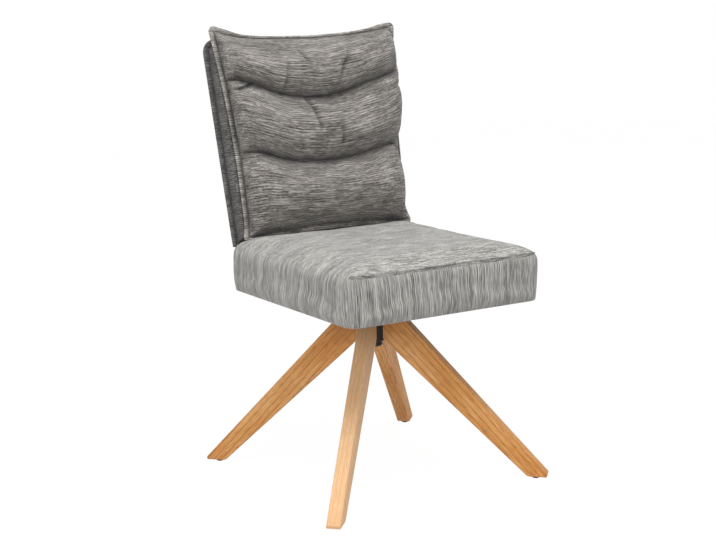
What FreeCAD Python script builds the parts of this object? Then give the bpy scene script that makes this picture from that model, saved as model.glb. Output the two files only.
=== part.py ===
import FreeCAD, Part
import math
import os

# A swivel dining chair. Millimetres, +Z up, the sitter faces -Y, and the swivel
# axis is the Z axis. Left and right are the sitter's: left is +X.

# Seat cushion
seat_width = 468.0
seat_front = 282.0
seat_rear = 195.0
seat_bottom_height = 386.0
seat_side_height = 96.0
seat_crown = 16.0
seat_crown_reach = 74.0
seat_crown_steps = 5
seat_draft = 8.0
seat_end_draft = 4.0
seat_front_corner_radius = 36.0
seat_rear_corner_radius = 18.0
seat_corner_sharpening = 8.0
seat_edge_radius = 14.0
seat_edge_sweep = 65.0
seat_edge_steps = 4
cover_thickness = 2.0
hem_width = 24.0
board_thickness = 15.0
dust_cover_thickness = 0.8
foam_pocket_share = 0.65

# Backrest
back_lean = 11.2
back_foot_drop = 8.0
back_height = 426.0
back_width_bottom = 414.0
back_width_top = 444.0
back_pad_thickness = 31.0
back_pad_bulge = 3.0
back_corner_radius = 18.0
back_edge_radius = 5.0
back_low_corner_radius = 1.0
back_flange_width = 14.0
back_skin = 8.0
back_board_thickness = 12.0
back_board_margin = 16.0
back_board_corner_radius = 40.0

# Pillow in front of the backrest
pillow_waist_width = 388.0
pillow_waist_height = 190.0
pillow_width_growth = 0.00034
pillow_top_height = 426.0
pillow_top_sag = 24.0
pillow_bottom_height = 27.0
pillow_bottom_sag = 9.0
pillow_flange_width = 12.0
pillow_ear_radius = 10.0
flange_thickness = 3.5
channel_heights = [166.0, 303.0]
channel_smiles = [26.0, 40.0]
channel_depth = 27.0
roll_depths = [57.0, 54.0, 48.0]
roll_fullness = 3.0
roll_side_bulge = 36.0
pillow_sections = 15

# Arms between the seat board and the back board
arm_spacing = 240.0
arm_width = 30.0
arm_thickness = 5.0
arm_foot_length = 85.0
arm_reach = 190.0
arm_bend_radius = 8.0
arm_end_radius = 0.5
arm_bolt_places_along = [0.25, 0.65]
arm_screw_places_up = [0.35, 0.85]

# Legs
foot_radius = 344.0
foot_inner_length = 16.0
foot_outer_length = 31.0
foot_tip_height = 6.0
foot_tip_slope = 2.0
foot_heel_radius = 14.0
leg_thickness = 28.7
leg_arris_radius = 2.5
leg_root = 23.0
leg_top_drop = 2.0
leg_rise_over_tube = 5.0

# Glides
glide_radius = 7.7
glide_height = 4.5
glide_chamfer = 1.2
glide_screw_radius = 2.0
glide_screw_length = 16.0
glide_screw_head_radius = 4.0
glide_screw_head_height = 1.6

# Hub and swivel bearing
tube_radius = 29.0
tube_wall = 4.0
tube_length = 88.0
fin_thickness = 5.0
fin_reach = 80.0
fin_margin = 13.0
fin_corner_radius = 3.0
tube_chamfer = 1.0
spindle_radius = 15.0
spindle_collar_radius = 24.0
spindle_collar_height = 6.0
spindle_collar_chamfer = 1.5
thread_radius = 8.0
bush_length = 26.0
bush_flange_thickness = 3.0
bush_flange_setback = 0.5
thrust_washer_thickness = 2.0
thrust_washer_setback = 1.0
end_washer_radius = 17.0
end_washer_thickness = 2.7
nut_width = 24.0
nut_height = 9.0
thread_end = 1.0
cap_radius = 21.0
cap_wall = 2.0
cap_depth = 13.0
cap_insert = 3.0
cap_chamfer = 2.0

# Swivel plate
plate_size = 180.0
plate_thickness = 4.0
plate_corner_radius = 18.0
plate_waist = 10.0
plate_hole_spacing = 144.0

# Bolts, screws and nuts
bolt_radius = 3.0
bolt_head_radius = 5.0
bolt_head_height = 4.0
bolt_socket_width = 4.0
bolt_socket_depth = 2.5
hex_head_width = 10.0
leg_bolt_length = 19.0
leg_bolt_first = 13.0
leg_bolt_pitch = 14.0
leg_bolt_edge = 21.0
board_bolt_grip = 14.0
tee_flange_radius = 9.5
tee_flange_thickness = 1.5
tee_barrel_radius = 4.2
tee_barrel_length = 9.0
wood_screw_radius = 2.0
wood_screw_length = 15.0
wood_screw_head_radius = 4.0
wood_screw_head_height = 2.3

# Clearances
soft_gap = 0.3
running_gap = 0.05
end_play = 0.3
thread_gap = 0.04
hole_gap = 0.3
fit_gap = 0.2
overcut = 1.0

# Places that follow from the sizes above
seat_arris_height = seat_bottom_height + seat_side_height
board_bottom = seat_bottom_height + cover_thickness
board_top = board_bottom + board_thickness
plate_top = board_bottom - dust_cover_thickness
plate_bottom = plate_top - plate_thickness
collar_bottom = plate_bottom - spindle_collar_height
thrust_top = collar_bottom - fit_gap
bush_top = thrust_top - thrust_washer_thickness
tube_top = bush_top - bush_flange_thickness
tube_bottom = tube_top - tube_length
bush_radius = tube_radius - tube_wall
leg_top = tube_top - leg_top_drop
foot_inner = foot_radius - foot_inner_length
foot_outer = foot_radius + foot_outer_length
upper_slope = (tube_top + leg_rise_over_tube - glide_height) / (foot_outer - tube_radius)
lower_slope = (tube_bottom - glide_height) / (foot_inner - tube_radius)
back_origin = FreeCAD.Vector(0, seat_rear, seat_arris_height - back_foot_drop)
pillow_plane = -(back_pad_thickness - back_pad_bulge) - soft_gap
corner_angles = {"front_left": -45.0, "rear_left": 45.0, "rear_right": 135.0, "front_right": 225.0}


def point(x, y, z):
    return FreeCAD.Vector(x, y, z)


def turned(shape, angle):
    return shape.rotated(point(0, 0, 0), point(0, 0, 1), angle)


def cylinder(radius, bottom, top, x=0.0, y=0.0):
    return Part.makeCylinder(radius, top - bottom, point(x, y, bottom), point(0, 0, 1))


def ring(outer, inner, bottom, top):
    return cylinder(outer, bottom, top).cut(cylinder(inner, bottom - overcut, top + overcut))


def across(radius, start, end, x, z):
    # A cylinder along Y, between two Y values.
    return Part.makeCylinder(radius, abs(end - start), point(x, min(start, end), z), point(0, 1, 0))


def hexagon(width, bottom, top, x=0.0, y=0.0):
    # A six-sided prism, measured across its flats.
    reach = width / math.sqrt(3)
    corners = []
    for step in range(7):
        angle = math.radians(60 * step)
        corners.append(point(x + reach * math.cos(angle), y + reach * math.sin(angle), bottom))
    return Part.Face(Part.makePolygon(corners)).extrude(point(0, 0, top - bottom))


def rounded_wire(corners, radii):
    # A closed planar outline of lines, with an arc at each corner that has a radius.
    count = len(corners)
    edges = []
    ends = []
    arcs = []
    for i in range(count):
        here = corners[i]
        back = (corners[i - 1] - here).normalize()
        ahead = (corners[(i + 1) % count] - here).normalize()
        half = back.getAngle(ahead) / 2
        start = here + back * (radii[i] / math.tan(half))
        end = here + ahead * (radii[i] / math.tan(half))
        if radii[i] > 0:
            centre = here + (back + ahead).normalize() * (radii[i] / math.sin(half))
            middle = centre + (here - centre).normalize() * radii[i]
            arcs.append(Part.Arc(start, middle, end).toShape())
        else:
            arcs.append(None)
        ends.append((start, end))
    for i in range(count):
        if arcs[i]:
            edges.append(arcs[i])
        edges.append(Part.LineSegment(ends[i][1], ends[(i + 1) % count][0]).toShape())
    return Part.Wire(edges)


def rounded_plate(corners, radii, depth):
    return Part.Face(rounded_wire(corners, radii)).extrude(depth)


def fillet_where(shape, radius, wanted):
    return shape.makeFillet(radius, [edge for edge in shape.Edges if wanted(edge)])


def rim_chamfered(shape, size, height, radius):
    # The shape with the round edge of that height and radius bevelled.
    rim = [edge for edge in shape.Edges
           if abs(edge.CenterOfMass.z - height) < size / 10
           and abs(edge.BoundBox.XLength - 2 * radius) < size / 10]
    return shape.makeChamfer(size, rim)


def save(name, solids):
    shape = solids[0] if len(solids) == 1 else Part.makeCompound(solids)
    shape.exportStep("parts/" + name + ".step")
    print(name, len(solids), "solids", round(sum(solid.Volume for solid in solids) / 1000, 2), "cm3")


# Fasteners

def socket_bolt(length, bottom):
    # A cap-head bolt, head down, its head's seat at the height given.
    head = cylinder(bolt_head_radius, bottom - bolt_head_height, bottom)
    shank = cylinder(bolt_radius, bottom, bottom + length)
    socket_top = bottom - bolt_head_height + bolt_socket_depth
    socket = hexagon(bolt_socket_width, bottom - bolt_head_height - overcut, socket_top)
    return head.fuse(shank).cut(socket).removeSplitter()


def hex_bolt(length, bottom):
    # A hexagon-head bolt, head down, its head's seat at the height given.
    head = hexagon(hex_head_width, bottom - bolt_head_height, bottom)
    return head.fuse(cylinder(bolt_radius, bottom, bottom + length)).removeSplitter()


def tee_nut(top):
    # A tee nut, flange up, its flange's upper face at the height given.
    flange = cylinder(tee_flange_radius, top - tee_flange_thickness, top)
    barrel = cylinder(tee_barrel_radius, top - tee_flange_thickness - tee_barrel_length, top)
    thread = cylinder(bolt_radius + thread_gap, top - tee_barrel_length * 2, top + overcut)
    return flange.fuse(barrel).cut(thread).removeSplitter()


def tee_nut_hole(top, bottom):
    # What a tee nut takes out of a board between two heights.
    flange = cylinder(tee_flange_radius + fit_gap, top - tee_flange_thickness, top + overcut)
    barrel = cylinder(tee_barrel_radius + running_gap, bottom - overcut, top)
    return flange.fuse(barrel)


def upside_down(shape, bottom, top):
    # The shape turned over between two heights.
    middle = (bottom + top) / 2
    return shape.rotated(point(0, 0, middle), point(1, 0, 0), 180)


def plate_hole_places():
    half = plate_hole_spacing / 2
    return [(half, half), (-half, half), (-half, -half), (half, -half)]


# Legs, glides and hub

def upper_edge(radius):
    return glide_height + (foot_outer - radius) * upper_slope


def lower_edge(radius):
    return glide_height + (foot_inner - radius) * lower_slope


def radius_on_upper_edge(height):
    return foot_outer - (height - glide_height) / upper_slope


def leg_blank():
    # The leg's outline in the plane through the axis, then its thickness.
    tip_height = glide_height + foot_tip_height
    tip_radius = radius_on_upper_edge(tip_height)
    outline = [
        point(leg_root, 0, lower_edge(leg_root)),
        point(leg_root, 0, leg_top),
        point(radius_on_upper_edge(leg_top), 0, leg_top),
        point(tip_radius, 0, tip_height),
        point(tip_radius - foot_tip_slope, 0, glide_height),
        point(foot_inner, 0, glide_height),
    ]
    blank = rounded_plate(outline, [0, 0, 0, 0, 0, foot_heel_radius], point(0, leg_thickness, 0))
    blank.translate(point(0, -leg_thickness / 2, 0))
    return fillet_where(blank, leg_arris_radius,
                        lambda edge: edge.BoundBox.YLength < 0.01 and edge.Length > foot_radius / 2)


def fin(play=0.0):
    # A hub fin, or with play the mortise that takes it.
    end = fin_reach + play
    margin = fin_margin - play
    outline = [
        point(leg_root, 0, lower_edge(leg_root) + margin),
        point(leg_root, 0, upper_edge(leg_root) - margin),
        point(end, 0, upper_edge(end) - margin),
        point(end, 0, lower_edge(end) + margin),
    ]
    thickness = fin_thickness + 2 * play
    plate = rounded_plate(outline, [fin_corner_radius] * 4, point(0, thickness, 0))
    plate.translate(point(0, -thickness / 2, 0))
    return plate.cut(cylinder(tube_radius + running_gap, 0, tube_top * 2))


def leg_bolt_places():
    places = []
    for number in range(2):
        radius = tube_radius + leg_bolt_first + number * leg_bolt_pitch
        places.append((radius, upper_edge(radius) - leg_bolt_edge))
    return places


def bolt_seat():
    # Where a leg bolt's head seats, measured from the leg's middle plane.
    return leg_thickness / 2 - bolt_head_height - fit_gap


def leg_with_joinery():
    leg = leg_blank()
    leg = leg.cut(cylinder(tube_radius + fit_gap, 0, tube_top * 2))
    leg = leg.cut(fin(fit_gap))
    for radius, height in leg_bolt_places():
        leg = leg.cut(across(bolt_head_radius + hole_gap, bolt_seat(), leg_thickness, radius, height))
        bolt_end = bolt_seat() - leg_bolt_length - hole_gap
        leg = leg.cut(across(bolt_radius + fit_gap, bolt_seat(), bolt_end, radius, height))
    screw_top = glide_height + glide_screw_length + hole_gap
    return leg.cut(cylinder(glide_screw_radius + running_gap, 0, screw_top, foot_radius))


def fin_with_threads():
    plate = fin()
    for radius, height in leg_bolt_places():
        plate = plate.cut(across(bolt_radius + thread_gap, -fin_thickness, fin_thickness, radius, height))
    return plate


def leg_bolts():
    # Both bolts of one leg, let in from its side.
    bolts = []
    for radius, height in leg_bolt_places():
        bolt = socket_bolt(leg_bolt_length, 0)
        bolt = bolt.rotated(point(0, 0, 0), point(1, 0, 0), 90)
        bolts.append(bolt.translated(point(radius, bolt_seat(), height)))
    return bolts


def glide():
    foot = cylinder(glide_radius, 0, glide_height, foot_radius)
    foot = rim_chamfered(foot, glide_chamfer, 0, glide_radius)
    recess_top = glide_screw_head_height * 2
    recess = cylinder(glide_screw_head_radius + fit_gap, -overcut, recess_top, foot_radius)
    hole = cylinder(glide_screw_radius + running_gap, 0, glide_height + overcut, foot_radius)
    return foot.cut(recess.fuse(hole))


def glide_screw():
    top = glide_screw_head_height * 2
    head = cylinder(glide_screw_head_radius, top - glide_screw_head_height, top, foot_radius)
    shank = cylinder(glide_screw_radius, top, glide_height + glide_screw_length, foot_radius)
    return head.fuse(shank).removeSplitter()


def hub_tube():
    tube = ring(tube_radius, bush_radius, tube_bottom, tube_top)
    return rim_chamfered(tube, tube_chamfer, tube_bottom, tube_radius)


def upper_bush():
    body = cylinder(bush_radius - running_gap, tube_top - bush_length, tube_top)
    body = body.fuse(cylinder(tube_radius - bush_flange_setback, tube_top, bush_top))
    bore = cylinder(spindle_radius + running_gap, tube_bottom, bush_top + overcut)
    return body.cut(bore).removeSplitter()


def cap_recess_top():
    return tube_bottom + cap_insert


def lower_bush():
    body = cylinder(bush_radius - running_gap, tube_bottom, tube_bottom + bush_length)
    body = body.cut(cylinder(cap_radius + running_gap, tube_bottom - overcut, cap_recess_top()))
    return body.cut(cylinder(spindle_radius + running_gap, tube_bottom, tube_top))


def thrust_washer():
    return ring(tube_radius - thrust_washer_setback, spindle_radius + fit_gap, bush_top, thrust_top)


def shoulder_height():
    # The underside of the spindle's full diameter, which the end washer bears on.
    return cap_recess_top() - end_play


def nut_bottom():
    return shoulder_height() - end_washer_thickness - nut_height


def spindle():
    shaft = cylinder(spindle_radius, shoulder_height(), plate_top)
    collar = cylinder(spindle_collar_radius, collar_bottom, plate_bottom)
    collar = rim_chamfered(collar, spindle_collar_chamfer, collar_bottom, spindle_collar_radius)
    thread = cylinder(thread_radius, nut_bottom() - thread_end, shoulder_height())
    return shaft.fuse([collar, thread]).removeSplitter()


def end_washer():
    top = shoulder_height()
    return ring(end_washer_radius, thread_radius + fit_gap, top - end_washer_thickness, top)


def locking_nut():
    bottom = nut_bottom()
    top = shoulder_height() - end_washer_thickness
    nut = hexagon(nut_width, bottom, top)
    return nut.cut(cylinder(thread_radius + thread_gap, bottom - overcut, top + overcut))


def hub_cap():
    bottom = tube_bottom - cap_depth
    shell = cylinder(cap_radius, bottom, cap_recess_top())
    shell = rim_chamfered(shell, cap_chamfer, bottom, cap_radius)
    return shell.cut(cylinder(cap_radius - cap_wall, bottom + cap_wall, cap_recess_top() + overcut))


def swivel_plate():
    # A square plate with hollowed sides, its corners left full for the bolts.
    half = plate_size / 2
    corners = [point(half, half, plate_bottom), point(-half, half, plate_bottom),
               point(-half, -half, plate_bottom), point(half, -half, plate_bottom)]
    plate = rounded_plate(corners, [plate_corner_radius] * 4, point(0, 0, plate_thickness))
    run = plate_hole_spacing / 4
    bow = (run * run + plate_waist * plate_waist) / (2 * plate_waist)
    for side in range(4):
        hollow = cylinder(bow, plate_bottom - overcut, plate_top + overcut, half - plate_waist + bow)
        plate = plate.cut(turned(hollow, 90 * side))
    plate = plate.cut(cylinder(spindle_radius + running_gap, plate_bottom - overcut, plate_top + overcut))
    for x, y in plate_hole_places():
        plate = plate.cut(cylinder(bolt_radius + hole_gap, plate_bottom - overcut, plate_top + overcut, x, y))
    return plate


# Seat

def seat_corners(height, inset):
    # The seat's outline at a height, as its four corners.
    low = max(0.0, 1 - (height - seat_bottom_height) / seat_side_height)
    half = seat_width / 2 - seat_draft * low - inset
    front = seat_front - seat_end_draft * low - inset
    rear = seat_rear - seat_end_draft * low - inset
    return [point(-half, -front, height), point(half, -front, height),
            point(half, rear, height), point(-half, rear, height)]


def seat_wire(height, inset):
    # The outline with its corners rounded, less so further in.
    less = max(0.0, min(inset, seat_corner_sharpening))
    radii = [seat_front_corner_radius - less] * 2 + [seat_rear_corner_radius - less] * 2
    return rounded_wire(seat_corners(height, inset), radii)


def seat_rings(inset, bottom):
    # The height and inset of each level outline that the cushion's form runs through:
    # up the drafted sides, round the arris, and over a crown that rises to a plateau.
    edge_centre = seat_arris_height - seat_edge_radius
    edge_radius = seat_edge_radius - inset
    rings = [(bottom, inset)]
    for step in range(seat_edge_steps + 1):
        angle = math.radians(seat_edge_sweep * step / seat_edge_steps)
        rings.append((edge_centre + edge_radius * math.sin(angle),
                      seat_edge_radius - edge_radius * math.cos(angle)))
    height, reach = rings[-1]
    rise = seat_arris_height + seat_crown - inset - height
    for step in range(1, seat_crown_steps + 1):
        share = step / seat_crown_steps
        rings.append((height + rise * (1 - (1 - share) ** 2), reach + seat_crown_reach * share))
    return rings


def seat_form(inset, bottom):
    # The cushion's outer form, or one an inset inside it.
    wires = [seat_wire(height, reach) for height, reach in seat_rings(inset, bottom)]
    return Part.makeLoft(wires, True, True)


def seat_board_blank():
    board = Part.Face(seat_wire(board_bottom, cover_thickness + soft_gap))
    return board.extrude(point(0, 0, board_thickness))


def seat_board():
    board = seat_board_blank()
    for x, y in plate_hole_places():
        board = board.cut(tee_nut_hole(board_top, board_bottom).translated(point(x, y, 0)))
    for x, y in arm_bolt_places():
        hole = upside_down(tee_nut_hole(board_top, board_bottom), board_bottom, board_top)
        board = board.cut(hole.translated(point(x, y, 0)))
    return board


def dust_cover():
    outline = seat_wire(plate_top, cover_thickness + hem_width + soft_gap)
    sheet = Part.Face(outline).extrude(point(0, 0, dust_cover_thickness))
    for x, y in plate_hole_places():
        hole = cylinder(bolt_radius + hole_gap, plate_top - overcut, board_bottom + overcut, x, y)
        sheet = sheet.cut(hole)
    return sheet


def seat_cover():
    # A skin over the foam and the board's edges, turned under the board as a hem.
    skin = seat_form(0, seat_bottom_height).cut(seat_form(cover_thickness, board_bottom))
    opening = Part.Face(seat_wire(seat_bottom_height, cover_thickness + hem_width))
    skin = skin.cut(opening.extrude(point(0, 0, cover_thickness + overcut)))
    return skin.cut(arm_slots())


def seat_foam():
    foam = seat_form(cover_thickness + soft_gap, board_top + running_gap)
    foam = foam.cut(arm_slots())
    for x, y in arm_bolt_places():
        head_top = board_top + arm_thickness + bolt_head_height
        foam = foam.cut(cylinder(hex_head_width * foam_pocket_share, board_top, head_top + soft_gap, x, y))
    return foam


# Backrest. Its pieces are drawn upright, with y = 0 on the rear flange and +Z up
# the back, and then leaned and set on the seat.

def placed(shape):
    leaned = shape.rotated(point(0, 0, 0), point(1, 0, 0), -back_lean)
    return leaned.translated(back_origin)


def back_outline(y, grow, bottom=0.0):
    half_bottom = back_width_bottom / 2 + grow
    half_top = back_width_top / 2 + grow
    return [point(-half_bottom, y, bottom), point(half_bottom, y, bottom),
            point(half_top, y, back_height + grow), point(-half_top, y, back_height + grow)]


def board_front():
    return back_pad_bulge - back_skin - back_board_thickness


def back_board_form(play=0.0, bottom=0.0):
    grow = play - back_board_margin
    radii = [back_low_corner_radius] * 2 + [back_board_corner_radius] * 2
    outline = back_outline(board_front() - play, grow, bottom)
    return rounded_plate(outline, radii, point(0, back_board_thickness + 2 * play, 0))


def arm_x_places():
    return [-arm_spacing / 2, arm_spacing / 2]


def arm_turn():
    # Where the arm's back face meets the board's top face, in the chair's frame.
    slope = math.tan(math.radians(back_lean))
    depth = board_front() / math.cos(math.radians(back_lean))
    return back_origin.y + depth - (back_origin.z - board_top) * slope


def arm(x, play=0.0):
    # A flat bar bent up from the seat board to the back board's front face.
    lean = math.radians(back_lean)
    along = point(0, math.sin(lean), math.cos(lean))
    forward = point(0, -math.cos(lean), math.sin(lean))
    heel = point(0, arm_turn(), board_top)
    rise = (back_origin.z - board_top) / math.cos(lean) + arm_reach
    inner_turn = arm_thickness * math.tan(math.radians(45 - back_lean / 2))
    inner_heel = heel + along * inner_turn + forward * arm_thickness
    outline = [
        heel - point(0, arm_foot_length, 0),
        heel,
        heel + along * rise,
        heel + along * rise + forward * arm_thickness,
        inner_heel,
        heel + point(0, -arm_foot_length, arm_thickness),
    ]
    end = arm_end_radius
    radii = [end, arm_bend_radius, end, end, arm_bend_radius - arm_thickness, end]
    if play:
        outline[0] = outline[0] + point(0, -play, -play)
        outline[1] = heel + point(0, play, -play)
        outline[2] = outline[2] + along * play - forward * play
        outline[3] = outline[3] + along * play + forward * play
        outline[4] = inner_heel + forward * play + point(0, 0, play)
        outline[5] = outline[5] + point(0, -play, play)
        radii = [end, end, end, end, arm_bend_radius - arm_thickness, end]
    width = arm_width + 2 * play
    bar = rounded_plate(outline, radii, point(width, 0, 0))
    return bar.translated(point(x - width / 2, 0, 0))


def arm_bolt_places():
    places = []
    for x in arm_x_places():
        for share in arm_bolt_places_along:
            places.append((x, arm_turn() - arm_foot_length * (1 - share)))
    return places


def arm_screw_heights():
    # Heights up the back of the wood screws in each arm.
    return [arm_reach * share for share in arm_screw_places_up]


def arm_slots():
    slots = [arm(x, soft_gap) for x in arm_x_places()]
    return slots[0].fuse(slots[1])


def countersunk(x, height, play):
    # A wood screw in the upright backrest frame, its head flush with the arm's front.
    front = board_front() - arm_thickness
    radius = wood_screw_radius + play
    cone = Part.makeCone(wood_screw_head_radius + play, radius, wood_screw_head_height,
                         point(x, front, height), point(0, 1, 0))
    shank = across(radius, front, front + wood_screw_length + play, x, height)
    return cone.fuse(shank)


def arm_with_holes(x):
    bar = arm(x)
    for height in arm_screw_heights():
        bar = bar.cut(placed(countersunk(x, height, running_gap)))
    for bolt_x, bolt_y in arm_bolt_places():
        if bolt_x == x:
            bar = bar.cut(cylinder(bolt_radius + hole_gap, board_top - overcut, board_top + arm_bend_radius,
                                   bolt_x, bolt_y))
    return bar


def back_board():
    board = back_board_form(0.0, back_board_margin)
    for x in arm_x_places():
        for height in arm_screw_heights():
            board = board.cut(countersunk(x, height, running_gap))
    return placed(board)


def back_screws():
    return [placed(countersunk(x, height, 0)) for x in arm_x_places() for height in arm_screw_heights()]


def back_pad():
    # The rear slab: a padded shell, open below for the board and arms, with a
    # flange round its rear edge.
    front = back_pad_bulge - back_pad_thickness
    radii = [back_low_corner_radius] * 2 + [back_corner_radius] * 2
    body = rounded_plate(back_outline(front, 0), radii, point(0, back_pad_thickness, 0))
    faces = (front, back_pad_bulge)
    body = fillet_where(body, back_edge_radius,
                        lambda edge: edge.CenterOfMass.z > back_low_corner_radius * 2
                        and min(abs(edge.BoundBox.YMin - y) + abs(edge.BoundBox.YMax - y) for y in faces) < 0.01)
    flange_radii = [back_low_corner_radius] * 2 + [back_corner_radius + back_flange_width / 2] * 2
    outline = back_outline(-flange_thickness, back_flange_width)
    flange = rounded_plate(outline, flange_radii, point(0, flange_thickness, 0))
    pad = body.fuse(flange)
    pad = pad.cut(back_board_form(soft_gap, -back_board_margin))
    pad = placed(pad).cut(arm_slots())
    return pad.cut(seat_form(-soft_gap, seat_bottom_height)).removeSplitter()


# Front pillow

def pillow_half_width(height):
    return pillow_waist_width / 2 + pillow_width_growth * (height - pillow_waist_height) ** 2


def pillow_surface_point(side, height, depth):
    # A point of the puffed front, pushed outward where the rolls are deep.
    half_width = pillow_half_width(height) + roll_side_bulge * depth / roll_depths[0]
    return point(side * half_width, pillow_plane - flange_thickness - depth, height)


def pillow_levels(side):
    # Bottom seam, channels and top seam, across the pillow from -1 to 1.
    levels = [pillow_bottom_height - pillow_bottom_sag * side * side]
    for height, smile in zip(channel_heights, channel_smiles):
        levels.append(height + smile * side * side)
    levels.append(pillow_top_height + pillow_top_sag * side * side)
    return levels


def pillow_section(side):
    # One upright section through the three rolls, each an arc between channels.
    fullness = max(0.0, 1 - abs(side) ** roll_fullness) ** (1 / roll_fullness)
    levels = pillow_levels(side)
    depths = [0.0, channel_depth * fullness, channel_depth * fullness, 0.0]
    edges = []
    for roll in range(3):
        low = pillow_surface_point(side, levels[roll], depths[roll])
        crest = pillow_surface_point(side, (levels[roll] + levels[roll + 1]) / 2, roll_depths[roll] * fullness)
        high = pillow_surface_point(side, levels[roll + 1], depths[roll + 1])
        edges.append(Part.Arc(low, crest, high).toShape())
    return Part.Wire(edges)


def pillow_front():
    # The puffed front, closed by the flat seam plane behind it.
    sections = []
    for step in range(pillow_sections):
        side = math.sin(math.pi * (step / (pillow_sections - 1) - 0.5))
        sections.append(pillow_section(side))
    puff = Part.makeLoft(sections, False, True)
    seam = pillow_plane - flange_thickness
    rim = [edge for edge in puff.Edges
           if abs(edge.BoundBox.YMin - seam) < 0.01 and abs(edge.BoundBox.YMax - seam) < 0.01]
    back = Part.Face(Part.Wire(Part.__sortEdges__(rim)))
    shell = Part.makeShell(puff.Faces + [back])
    shell.sewShape()
    return Part.makeSolid(shell)


def pillow_flange():
    # A flat double edge round the seam, its sides drawn in between the ears.
    grow = pillow_flange_width
    y = pillow_plane - flange_thickness
    low_ear = pillow_levels(1)[0] - grow
    high_ear = pillow_levels(1)[-1] + grow
    low_half = pillow_half_width(low_ear) + grow
    high_half = pillow_half_width(high_ear) + grow
    waist_half = pillow_half_width(pillow_waist_height) + grow
    corners = [point(-low_half, y, low_ear), point(low_half, y, low_ear),
               point(high_half, y, high_ear), point(-high_half, y, high_ear)]
    middles = [point(0, y, pillow_bottom_height - grow), point(waist_half, y, pillow_waist_height),
               point(0, y, pillow_top_height + grow), point(-waist_half, y, pillow_waist_height)]
    edges = [Part.Arc(corners[i], middles[i], corners[(i + 1) % 4]).toShape() for i in range(4)]
    plate = Part.Face(Part.Wire(edges)).extrude(point(0, flange_thickness, 0))
    return fillet_where(plate, pillow_ear_radius,
                        lambda edge: edge.BoundBox.XLength < 0.01 and edge.BoundBox.ZLength < 0.01)


def back_cushion():
    pillow = placed(pillow_flange().fuse(pillow_front()))
    return pillow.cut(seat_form(-soft_gap, seat_bottom_height))


def four_around(shape):
    return {corner: turned(shape, angle) for corner, angle in corner_angles.items()}


def build():
    os.makedirs("parts", exist_ok=True)
    for corner, leg in four_around(leg_with_joinery()).items():
        save("leg_" + corner, [leg])
    for corner, foot in four_around(glide()).items():
        save("glide_" + corner, [foot])
    save("glide_screws", list(four_around(glide_screw()).values()))
    save("hub_tube", [hub_tube()])
    save("hub_fins", list(four_around(fin_with_threads()).values()))
    save("leg_bolts", [turned(bolt, angle) for angle in corner_angles.values() for bolt in leg_bolts()])
    save("upper_bush", [upper_bush()])
    save("lower_bush", [lower_bush()])
    save("thrust_washer", [thrust_washer()])
    save("hub_cap", [hub_cap()])
    save("spindle", [spindle()])
    save("end_washer", [end_washer()])
    save("locking_nut", [locking_nut()])
    save("swivel_plate", [swivel_plate()])
    plate_bolt = hex_bolt(board_bolt_grip + plate_thickness, plate_bottom)
    save("plate_bolts", [plate_bolt.translated(point(x, y, 0)) for x, y in plate_hole_places()])
    save("plate_tee_nuts", [tee_nut(board_top).translated(point(x, y, 0)) for x, y in plate_hole_places()])
    save("seat_board", [seat_board()])
    save("dust_cover", [dust_cover()])
    save("seat_foam", [seat_foam()])
    save("seat_cover", [seat_cover()])
    arm_top = board_top + arm_thickness
    arm_bolt = upside_down(hex_bolt(board_bolt_grip + arm_thickness, arm_top), arm_top, arm_top)
    save("arm_bolts", [arm_bolt.translated(point(x, y, 0)) for x, y in arm_bolt_places()])
    arm_nut = upside_down(tee_nut(board_top), board_bottom, board_top)
    save("arm_tee_nuts", [arm_nut.translated(point(x, y, 0)) for x, y in arm_bolt_places()])
    save("arm_right", [arm_with_holes(arm_x_places()[0])])
    save("arm_left", [arm_with_holes(arm_x_places()[1])])
    save("back_board", [back_board()])
    save("back_screws", back_screws())
    save("back_pad", [back_pad()])
    save("back_cushion", [back_cushion()])


if __name__ == "__main__":
    build()
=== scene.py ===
import bpy
import math
from mathutils import Matrix, Vector, noise


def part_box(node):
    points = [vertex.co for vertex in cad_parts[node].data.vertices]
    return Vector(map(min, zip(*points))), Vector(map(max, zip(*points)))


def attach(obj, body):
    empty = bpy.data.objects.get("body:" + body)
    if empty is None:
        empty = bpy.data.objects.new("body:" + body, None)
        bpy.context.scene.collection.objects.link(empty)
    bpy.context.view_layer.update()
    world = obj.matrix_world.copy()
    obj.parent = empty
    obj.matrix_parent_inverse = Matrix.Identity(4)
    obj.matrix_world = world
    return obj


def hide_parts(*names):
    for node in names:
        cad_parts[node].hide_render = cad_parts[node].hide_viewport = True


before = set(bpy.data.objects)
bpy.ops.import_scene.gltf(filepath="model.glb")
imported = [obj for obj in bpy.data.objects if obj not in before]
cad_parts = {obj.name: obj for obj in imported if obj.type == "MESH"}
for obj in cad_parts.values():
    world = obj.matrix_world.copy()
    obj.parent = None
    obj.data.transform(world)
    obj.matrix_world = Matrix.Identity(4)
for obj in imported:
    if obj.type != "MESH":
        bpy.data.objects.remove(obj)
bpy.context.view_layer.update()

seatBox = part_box("seat_cover")
print("frame loaded:", len(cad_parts), "nodes")


# camera, as the photograph was taken

camera = {
    "azimuth": -33.375,
    "elevation": 10.489,
    "roll": -0.721,
    "distance": 2.868,
    "target": (0.01437, -0.0419, 0.45),
    "lens": 70.16,
    "shift": (-0.04227, -0.00986),
}


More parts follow.
